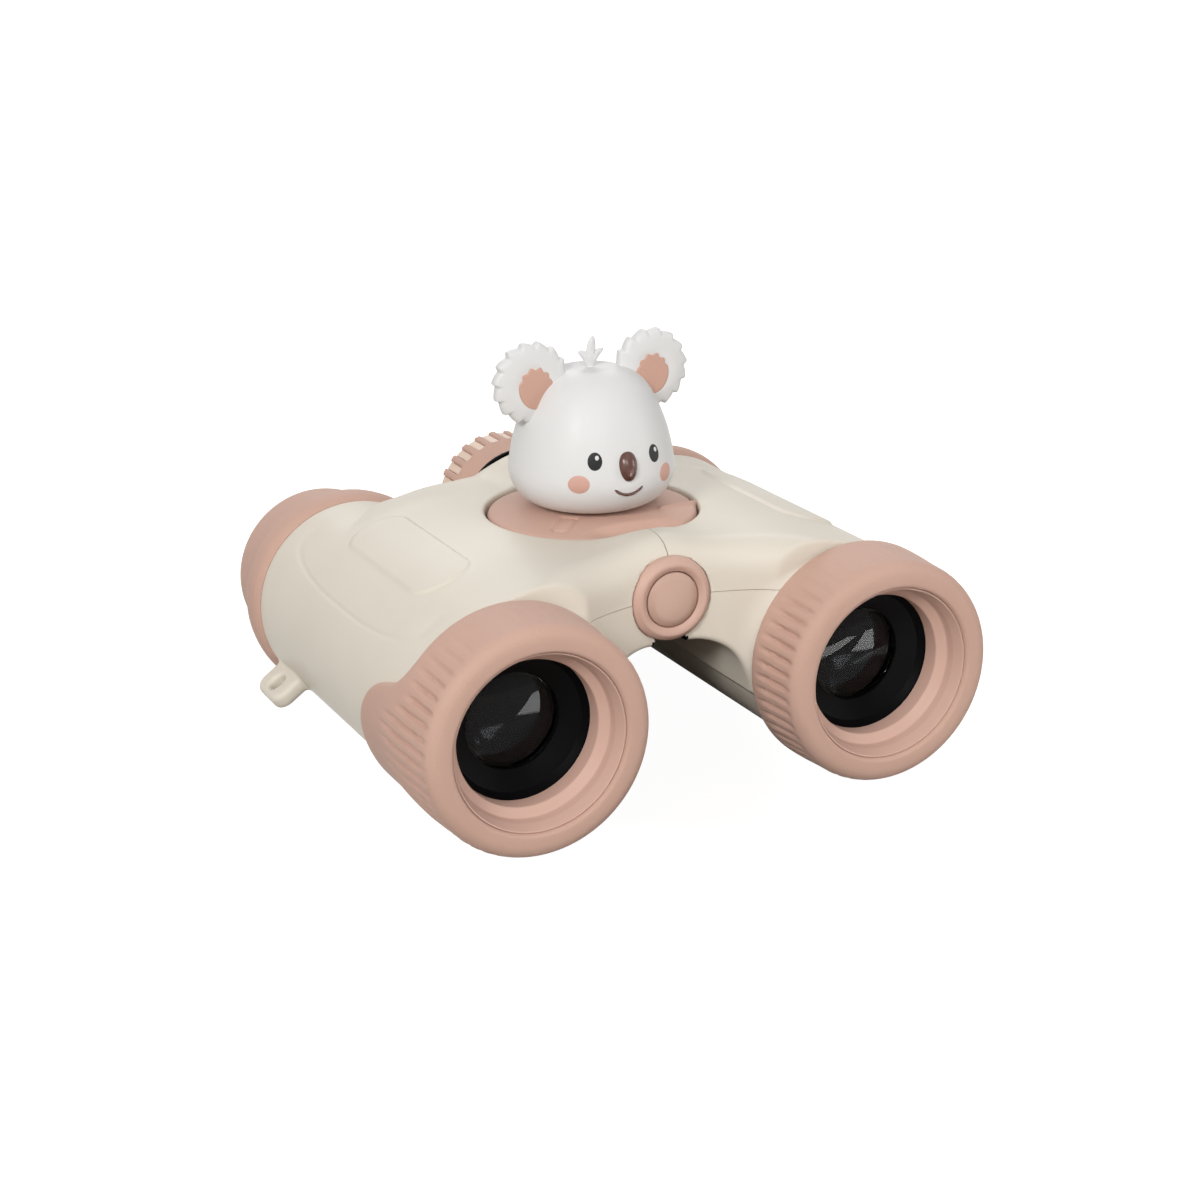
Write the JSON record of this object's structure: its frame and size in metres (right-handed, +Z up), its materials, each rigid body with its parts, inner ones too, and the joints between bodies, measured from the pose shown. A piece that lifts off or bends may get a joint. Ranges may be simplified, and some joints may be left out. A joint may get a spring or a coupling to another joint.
{
  "type": "toy binoculars",
  "caption": "Folding toy binoculars with ribbed soft grip rings, stepped lens hoods, a centre focus wheel, soft eyecups, strap lugs and a turning koala head on the bridge.",
  "frame": {"origin": "middle of the outer box, on the surface that the grip rings rest on", "axes": "+X across from the left to the right barrel, +Y along the barrels to the eyepieces, +Z up to the head"},
  "size_m": [0.0988, 0.0944, 0.0673],
  "materials": {
    "shell": "satin beige",
    "soft_grip": "fine-grained soft touch, dusty pink",
    "black_plastic": "matt black",
    "lens_glass": "clear",
    "steel": "plain",
    "head_white": "satin white",
    "ear_pink": "matt pink",
    "nose_brown": "glossy dark brown"
  },
  "bodies": {
    "left_half": {"left_body": "shell", "left_lower_cover": "shell", "left_cover_screws": "steel", "left_grip_ring": "soft_grip", "left_hood_ring": "soft_grip", "left_objective_cell": "black_plastic", "left_objective_lens": "lens_glass", "left_lens_retainer": "black_plastic", "left_eyepiece_ring": "soft_grip", "hinge_pin": "steel", "hinge_bush": "steel", "hinge_cap_ring": "soft_grip", "hinge_cap_plug": "soft_grip", "head_collar": "soft_grip", "collar_screws": "steel"},
    "right_half": {"right_body": "shell", "right_lower_cover": "shell", "right_cover_screws": "steel", "right_grip_ring": "soft_grip", "right_hood_ring": "soft_grip", "right_objective_cell": "black_plastic", "right_objective_lens": "lens_glass", "right_lens_retainer": "black_plastic", "right_eyepiece_ring": "soft_grip"},
    "focus_wheel": {"focus_hub": "shell", "focus_tyre": "soft_grip", "focus_shaft": "steel"},
    "focus_spool": {"focus_nut": "black_plastic"},
    "left_eyepiece": {"left_eyepiece_tube": "black_plastic", "left_eye_lens": "lens_glass", "left_eyecup": "soft_grip", "left_focus_arm": "black_plastic"},
    "right_eyepiece": {"right_eyepiece_tube": "black_plastic", "right_eye_lens": "lens_glass", "right_eyecup": "soft_grip", "right_focus_arm": "black_plastic"},
    "head": {"head_shell": "head_white", "head_base": "head_white", "neck_washer": "steel", "neck_screw": "steel", "left_ear": "head_white", "right_ear": "head_white", "left_ear_pad": "ear_pink", "right_ear_pad": "ear_pink", "nose": "nose_brown", "hair_tuft": "head_white"}
  },
  "joints": [
    {"name": "fold_hinge", "type": "hinge", "parent": "left_half", "child": "right_half", "pos_m": [0, 0, 0.0309], "axis": [0, 1, 0], "range_deg": [0, 30]},
    {"name": "focus_turn", "type": "hinge", "parent": "left_half", "child": "focus_wheel", "pos_m": [0, 0, 0.0309], "axis": [0, 1, 0], "range_deg": [-157.5, 157.5]},
    {"name": "spool_slide", "type": "slide", "parent": "left_half", "child": "focus_spool", "axis": [0, 1, 0], "range_m": [-0.0021, 0.0021]},
    {"name": "left_eyepiece_slide", "type": "slide", "parent": "left_half", "child": "left_eyepiece", "axis": [0, 1, 0], "range_m": [-0.002, 0.002]},
    {"name": "right_eyepiece_slide", "type": "slide", "parent": "right_half", "child": "right_eyepiece", "axis": [0, 1, 0], "range_m": [-0.0021, 0.0021]},
    {"name": "head_turn", "type": "hinge", "parent": "left_half", "child": "head", "pos_m": [0, -0.0033, 0.04], "axis": [0, 0, 1], "range_deg": [-45, 45]}
  ],
  "couplings": [
    {"joint": "focus_turn", "follows": "left_eyepiece_slide", "rad_per_m": 1309},
    {"joint": "spool_slide", "follows": "left_eyepiece_slide", "ratio": 1},
    {"joint": "right_eyepiece_slide", "follows": "left_eyepiece_slide", "ratio": 1}
  ]
}
